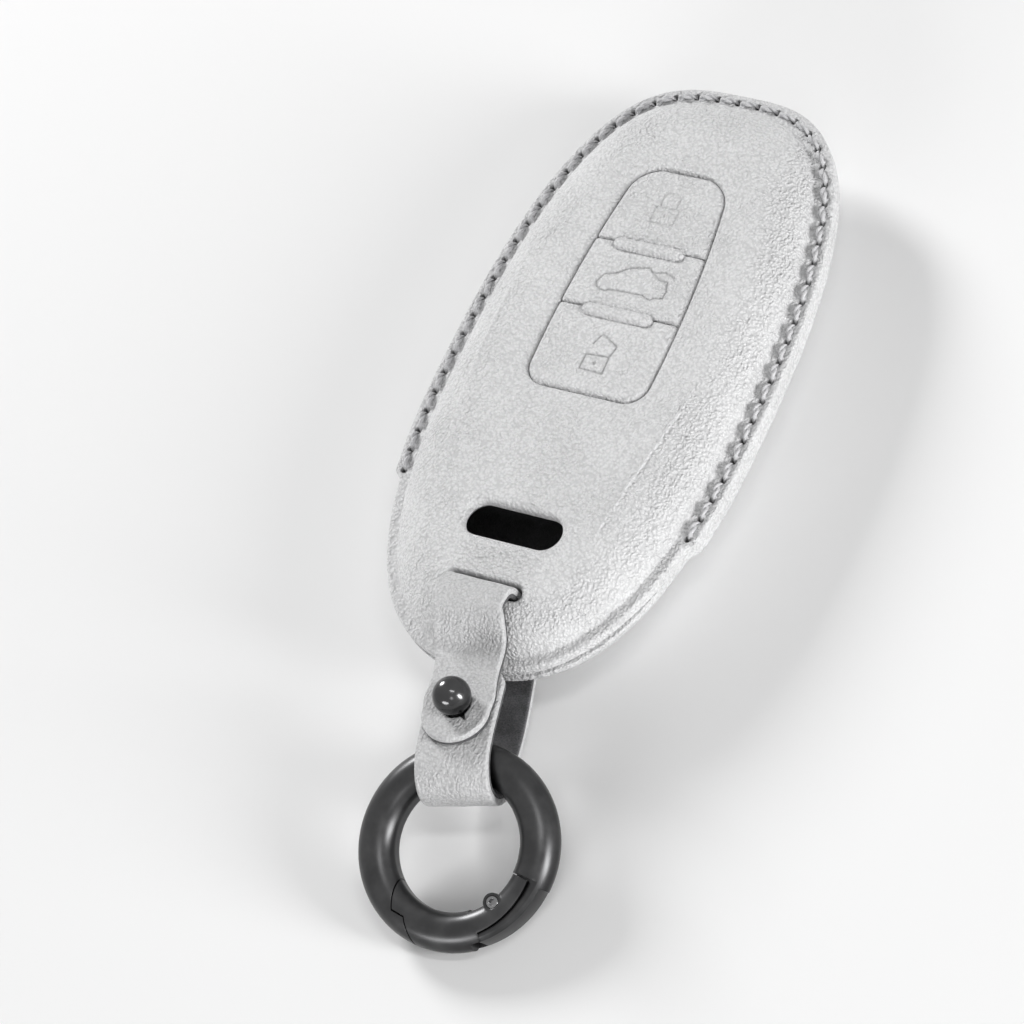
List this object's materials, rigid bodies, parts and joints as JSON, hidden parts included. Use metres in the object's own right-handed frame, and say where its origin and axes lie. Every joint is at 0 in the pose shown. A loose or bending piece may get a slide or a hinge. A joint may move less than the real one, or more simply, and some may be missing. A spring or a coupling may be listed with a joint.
{
  "type": "key fob cover",
  "caption": "Leather cover for an elongated smart key fob: domed stitched shell with a button panel and window, a strap loop on a ball stud and a snap ring.",
  "frame": {"origin": "on the flat back face, under the middle of the case's length and width, leaving out the strap and ring", "axes": "+Z out of the front face with the buttons, +Y along the case to the button end, away from the strap, +X to the right seen from the front with the button end up"},
  "size_m": [0.0476, 0.125, 0.0192],
  "materials": {
    "shell_leather": "fine pebbled, semi-matt",
    "suede_lining": "napped suede",
    "thread": "waxed thread",
    "strap_leather": "fine pebbled, semi-matt",
    "strap_suede": "raw suede side",
    "gunmetal": "polished dark plating",
    "bright_steel": "bright"
  },
  "bodies": {
    "case": {"front_shell": "shell_leather", "front_lining": "suede_lining", "back_shell": "shell_leather", "back_lining": "suede_lining", "seam_thread": "thread", "upper_divider": "shell_leather", "lower_divider": "shell_leather", "strap_root": "strap_leather", "strap_root_suede": "strap_suede"},
    "lock_button": {"lock_pad": "shell_leather"},
    "boot_button": {"boot_pad": "shell_leather"},
    "unlock_button": {"unlock_pad": "shell_leather"},
    "tongue": {"strap_tongue": "strap_leather", "strap_tongue_suede": "strap_suede"},
    "mouth": {"mouth_flap": "shell_leather", "mouth_lining": "suede_lining", "strap_loop": "strap_leather", "strap_loop_suede": "strap_suede", "strap_inner": "strap_leather", "stud_ball": "gunmetal", "stud_screw": "gunmetal"},
    "ring": {"snap_ring": "gunmetal", "gate_pin": "bright_steel", "gate_spring": "bright_steel"},
    "gate": {"ring_gate": "gunmetal"}
  },
  "joints": [
    {"name": "lock_press", "type": "slide", "parent": "case", "child": "lock_button", "axis": [0, 0, -1], "range_m": [0, 0.0006], "stiffness_N_per_m": 800},
    {"name": "boot_press", "type": "slide", "parent": "case", "child": "boot_button", "axis": [0, 0, -1], "range_m": [0, 0.0006], "stiffness_N_per_m": 800},
    {"name": "unlock_press", "type": "slide", "parent": "case", "child": "unlock_button", "axis": [0, 0, -1], "range_m": [0, 0.0006], "stiffness_N_per_m": 800},
    {"name": "tongue_lift", "type": "hinge", "parent": "case", "child": "tongue", "pos_m": [0, -0.0386, 0.01764], "axis": [-1, 0, 0], "range_deg": [0, 60], "stiffness_Nm_per_rad": 0.004},
    {"name": "mouth_open", "type": "hinge", "parent": "case", "child": "mouth", "pos_m": [0, -0.02175, 0], "axis": [1, 0, 0], "range_deg": [0, 30], "stiffness_Nm_per_rad": 0.1, "deforming": ["strap_inner"]},
    {"name": "ring_swing", "type": "hinge", "parent": "mouth", "child": "ring", "pos_m": [0.00532, -0.05715, 0.00939], "axis": [0.9613, 0.2756, 0], "range_deg": [-18, 50]},
    {"name": "gate_open", "type": "hinge", "parent": "ring", "child": "gate", "pos_m": [0.0156, -0.07231, 0.00373], "axis": [-0.0852, 0.297, -0.9511], "range_deg": [0, 20], "stiffness_Nm_per_rad": 0.01}
  ],
  "couplings": [
    {"joint": "tongue_lift", "follows": "mouth_open", "ratio": 2}
  ]
}
